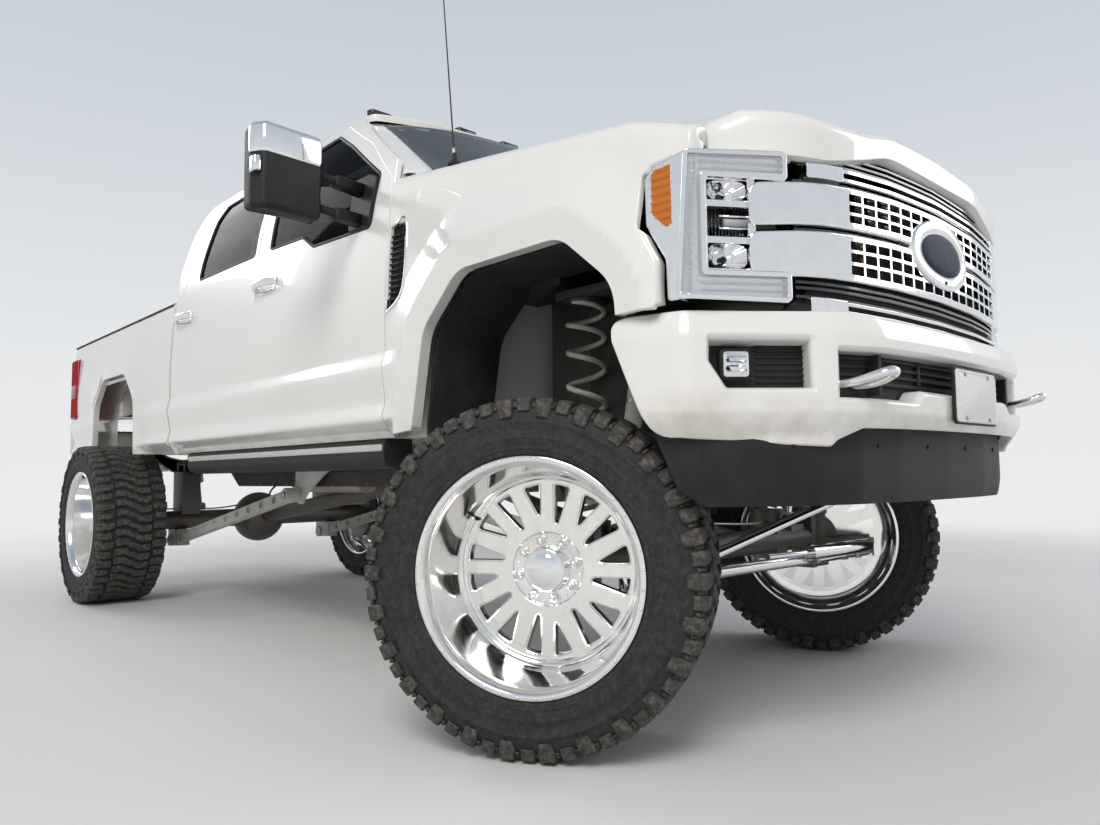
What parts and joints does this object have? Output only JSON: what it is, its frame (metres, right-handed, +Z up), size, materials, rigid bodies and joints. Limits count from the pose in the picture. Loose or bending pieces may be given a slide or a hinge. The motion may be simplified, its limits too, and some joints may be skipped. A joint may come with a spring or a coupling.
{
  "type": "lifted pickup truck",
  "caption": "Lifted crew-cab pickup truck with steering front wheels, opening doors, hood and tailgate on a raised solid-axle chassis.",
  "frame": {"origin": "on the ground under the middle of the truck's length, on its centre plane", "axes": "+Z up, the front of the truck towards -Y, its left side towards +X"},
  "size_m": [2.84, 6.39, 2.7003],
  "materials": {
    "body_paint": "pearl white paint under clear coat",
    "tinted_glass": "dark tinted glass",
    "black_plastic": "grained black plastic",
    "chrome_trim": "bright chrome",
    "lamp_clear": "clear lamp lens over bright reflectors",
    "lamp_red": "red lamp lens",
    "plate": "blank plate",
    "seat_leather": "dark leather",
    "suspension_coat": "pale grey powder coat",
    "bare_metal": "bare weathered steel",
    "chassis_black": "black chassis paint, dusty",
    "tyre_rubber": "worn black rubber with pale dust",
    "polished_rim": "polished forged aluminium"
  },
  "bodies": {
    "chassis": {"cab_shell": "body_paint", "cab_glass": "tinted_glass", "front_fenders": "body_paint", "arch_liners": "black_plastic", "grille": "chrome_trim", "headlamps": "lamp_clear", "front_bumper": "body_paint", "air_dam": "black_plastic", "tow_hooks": "chrome_trim", "front_plate": "plate", "engine_block": "chassis_black", "radiator": "bare_metal", "cargo_bed": "body_paint", "bed_sides": "body_paint", "wheel_housings": "body_paint", "tail_lamps": "lamp_red", "rear_bumper": "body_paint", "frame": "chassis_black", "front_axle": "chassis_black", "rear_axle": "chassis_black", "radius_arms": "suspension_coat", "traction_bars": "suspension_coat", "coil_springs": "suspension_coat", "shock_absorbers": "chassis_black", "leaf_springs": "chassis_black", "driveline": "bare_metal", "steering_box": "chassis_black", "fuel_tank": "black_plastic", "exhaust": "bare_metal", "seats": "seat_leather", "dashboard": "black_plastic", "steering_wheel": "black_plastic", "running_boards": "black_plastic", "antenna": "black_plastic"},
    "hood_panel": {"hood": "body_paint"},
    "tailgate_panel": {"tailgate": "body_paint"},
    "door_front_left": {"front_door_left": "body_paint", "front_door_glass_left": "tinted_glass", "mirror_left": "black_plastic"},
    "door_front_right": {"front_door_right": "body_paint", "front_door_glass_right": "tinted_glass", "mirror_right": "black_plastic"},
    "door_rear_left": {"rear_door_left": "body_paint", "rear_door_glass_left": "tinted_glass"},
    "door_rear_right": {"rear_door_right": "body_paint", "rear_door_glass_right": "tinted_glass"},
    "knuckle_body_left": {"knuckle_left": "chassis_black"},
    "knuckle_body_right": {"knuckle_right": "chassis_black"},
    "steering_linkage": {"steering_links": "chrome_trim"},
    "pitman": {"pitman_arm": "chassis_black"},
    "wheel_front_left": {"front_tyre_left": "tyre_rubber", "front_rim_left": "polished_rim"},
    "wheel_front_right": {"front_tyre_right": "tyre_rubber", "front_rim_right": "polished_rim"},
    "wheel_rear_left": {"rear_tyre_left": "tyre_rubber", "rear_rim_left": "polished_rim"},
    "wheel_rear_right": {"rear_tyre_right": "tyre_rubber", "rear_rim_right": "polished_rim"}
  },
  "joints": [
    {"name": "steer_left", "type": "hinge", "parent": "chassis", "child": "knuckle_body_left", "pos_m": [0.791, -2.185, 0.50285], "axis": [0, 0, 1], "range_deg": [-63, 3]},
    {"name": "steer_right", "type": "hinge", "parent": "chassis", "child": "knuckle_body_right", "pos_m": [-0.791, -2.185, 0.50285], "axis": [0, 0, 1], "range_deg": [-63, 3]},
    {"name": "tie_rod_swing", "type": "hinge", "parent": "knuckle_body_right", "child": "steering_linkage", "pos_m": [-0.68442, -2.36594, 0.44], "axis": [0, 0, 1], "range_deg": [-3, 63]},
    {"name": "pitman_swing", "type": "hinge", "parent": "chassis", "child": "pitman", "pos_m": [0.365, -2.415, 0.8], "axis": [0, 0, 1], "range_deg": [-63, 3]},
    {"name": "front_wheel_left_spin", "type": "hinge", "parent": "knuckle_body_left", "child": "wheel_front_left", "pos_m": [1.09257, -2.00736, 0.50285], "axis": [0.8616, 0.5075, 0], "continuous": true},
    {"name": "rear_wheel_left_spin", "type": "hinge", "parent": "chassis", "child": "wheel_rear_left", "pos_m": [1.1, 1.874, 0.50285], "axis": [1, 0, 0], "continuous": true},
    {"name": "front_door_left_swing", "type": "hinge", "parent": "chassis", "child": "door_front_left", "pos_m": [0.985, -1.423, 1.4], "axis": [0, 0, -1], "range_deg": [0, 68]},
    {"name": "rear_door_left_swing", "type": "hinge", "parent": "chassis", "child": "door_rear_left", "pos_m": [0.985, -0.23, 1.4], "axis": [0, 0, -1], "range_deg": [0, 68]},
    {"name": "front_wheel_right_spin", "type": "hinge", "parent": "knuckle_body_right", "child": "wheel_front_right", "pos_m": [-1.09257, -2.36264, 0.50285], "axis": [-0.8616, -0.5075, 0], "continuous": true},
    {"name": "rear_wheel_right_spin", "type": "hinge", "parent": "chassis", "child": "wheel_rear_right", "pos_m": [-1.1, 1.874, 0.50285], "axis": [-1, 0, 0], "continuous": true},
    {"name": "front_door_right_swing", "type": "hinge", "parent": "chassis", "child": "door_front_right", "pos_m": [-0.985, -1.423, 1.4], "axis": [0, 0, 1], "range_deg": [0, 68]},
    {"name": "rear_door_right_swing", "type": "hinge", "parent": "chassis", "child": "door_rear_right", "pos_m": [-0.985, -0.23, 1.4], "axis": [0, 0, 1], "range_deg": [0, 68]},
    {"name": "hood_lift", "type": "hinge", "parent": "chassis", "child": "hood_panel", "pos_m": [0, -1.595, 1.985], "axis": [-1, 0, 0], "range_deg": [0, 50]},
    {"name": "tailgate_drop", "type": "hinge", "parent": "chassis", "child": "tailgate_panel", "pos_m": [0, 3.093, 1.252], "axis": [-1, 0, 0], "range_deg": [0, 90]}
  ],
  "couplings": [
    {"joint": "steer_left", "follows": "steer_right", "ratio": 1},
    {"joint": "tie_rod_swing", "follows": "steer_right", "ratio": -1},
    {"joint": "pitman_swing", "follows": "steer_right", "ratio": 1}
  ]
}
